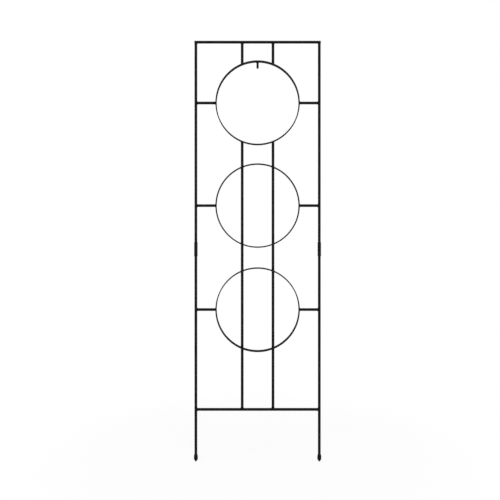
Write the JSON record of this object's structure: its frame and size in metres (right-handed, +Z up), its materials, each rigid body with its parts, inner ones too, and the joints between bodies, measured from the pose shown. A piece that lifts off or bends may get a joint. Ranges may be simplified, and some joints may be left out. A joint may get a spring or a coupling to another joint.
{
  "type": "garden trellis",
  "caption": "Upright garden trellis of thin round steel tube with stacked rings of flat strip, pointed feet and an upper panel that lifts off.",
  "frame": {"origin": "on the soil line, midway between the two feet, in the plane of the tubes' centres; the feet reach 150 mm below it", "axes": "+Z up along the rails, +X to the right as seen from the front, the front faces -Y and the wall side +Y"},
  "size_m": [0.4616, 0.024, 1.524],
  "materials": {
    "tube_coat": "satin black powder coat on steel tube",
    "strip_coat": "satin black powder coat on rolled steel strip",
    "rod_coat": "satin black powder coat on steel rod"
  },
  "bodies": {
    "lower_panel": {"lower_left_rail": "tube_coat", "lower_right_rail": "tube_coat", "lower_left_link": "tube_coat", "lower_right_link": "tube_coat", "bottom_ring": "strip_coat", "bottom_ring_left_arm": "tube_coat", "bottom_ring_right_arm": "tube_coat", "bottom_ring_left_bar": "tube_coat", "bottom_ring_right_bar": "tube_coat", "base_left_bar": "tube_coat", "base_right_bar": "tube_coat", "bottom_bar": "tube_coat"},
    "upper_panel": {"top_bar": "tube_coat", "upper_left_rail": "tube_coat", "upper_right_rail": "tube_coat", "top_left_bar": "tube_coat", "top_right_bar": "tube_coat", "top_ring": "strip_coat", "top_ring_left_arm": "tube_coat", "top_ring_right_arm": "tube_coat", "hanging_hook": "rod_coat", "upper_left_link": "tube_coat", "upper_right_link": "tube_coat", "middle_ring": "strip_coat", "middle_ring_left_arm": "tube_coat", "middle_ring_right_arm": "tube_coat", "middle_ring_left_bar": "tube_coat", "middle_ring_right_bar": "tube_coat", "left_locating_peg": "rod_coat", "right_locating_peg": "rod_coat"}
  },
  "joints": [
    {"name": "upper_panel_lift", "type": "slide", "parent": "lower_panel", "child": "upper_panel", "axis": [0, 0, 1], "range_m": [0, 0.06]}
  ]
}
